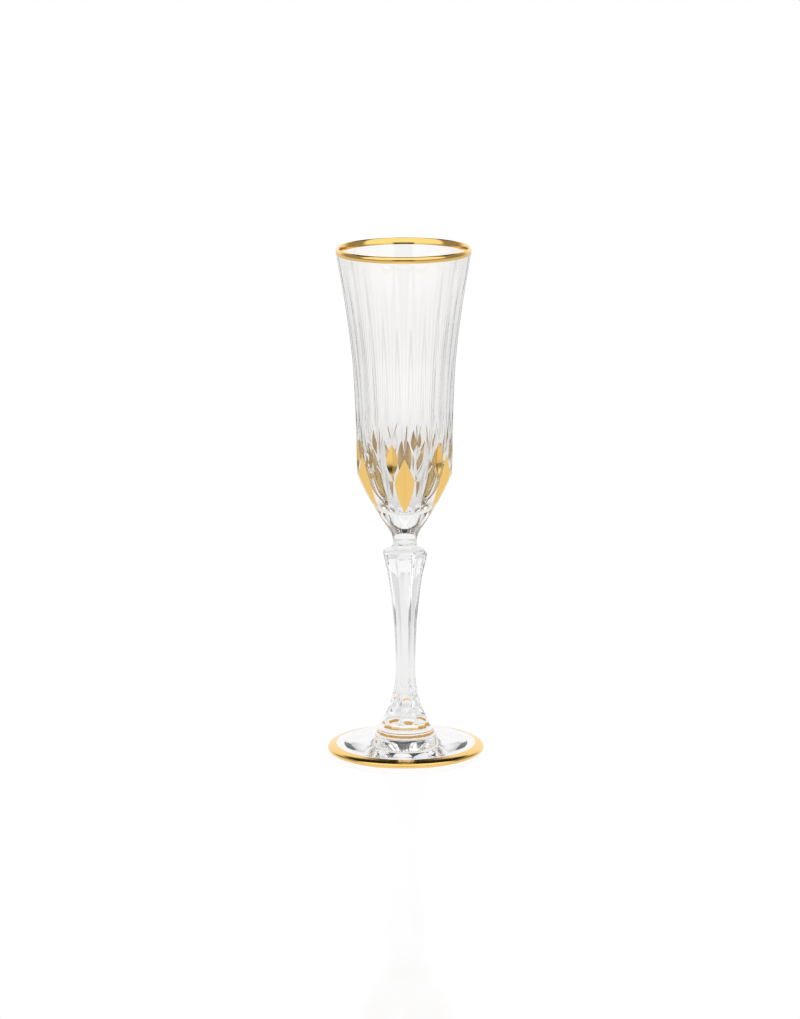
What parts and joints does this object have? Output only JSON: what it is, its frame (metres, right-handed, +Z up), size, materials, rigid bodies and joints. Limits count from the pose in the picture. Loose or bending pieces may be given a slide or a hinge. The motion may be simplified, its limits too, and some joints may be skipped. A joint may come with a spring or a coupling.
{
  "type": "champagne flute",
  "caption": "Tall stemmed champagne flute in cut crystal: fluted tulip bowl with gilded lozenge cuts, fluted stem, disc foot, gold bands on the lip and foot.",
  "frame": {"origin": "centre of the circle on which the foot stands, at floor level", "axes": "+Z up along the stem; the middle of one large gilded lozenge cut faces -Y, which is the front"},
  "size_m": [0.0752, 0.0752, 0.245],
  "materials": {
    "crystal": "polished clear crystal",
    "gold": "bright fired-on gold film, polished"
  },
  "bodies": {
    "root": {"bowl": "crystal", "stem": "crystal", "foot": "crystal", "rim_gold_band": "gold", "foot_gold_band": "gold", "gold_lozenge_1": "gold", "gold_lozenge_2": "gold", "gold_lozenge_3": "gold", "gold_lozenge_4": "gold", "gold_lozenge_5": "gold", "gold_lozenge_6": "gold", "gold_upper_lozenge_1": "gold", "gold_upper_lozenge_2": "gold", "gold_upper_lozenge_3": "gold", "gold_upper_lozenge_4": "gold", "gold_upper_lozenge_5": "gold", "gold_upper_lozenge_6": "gold"}
  },
  "joints": []
}
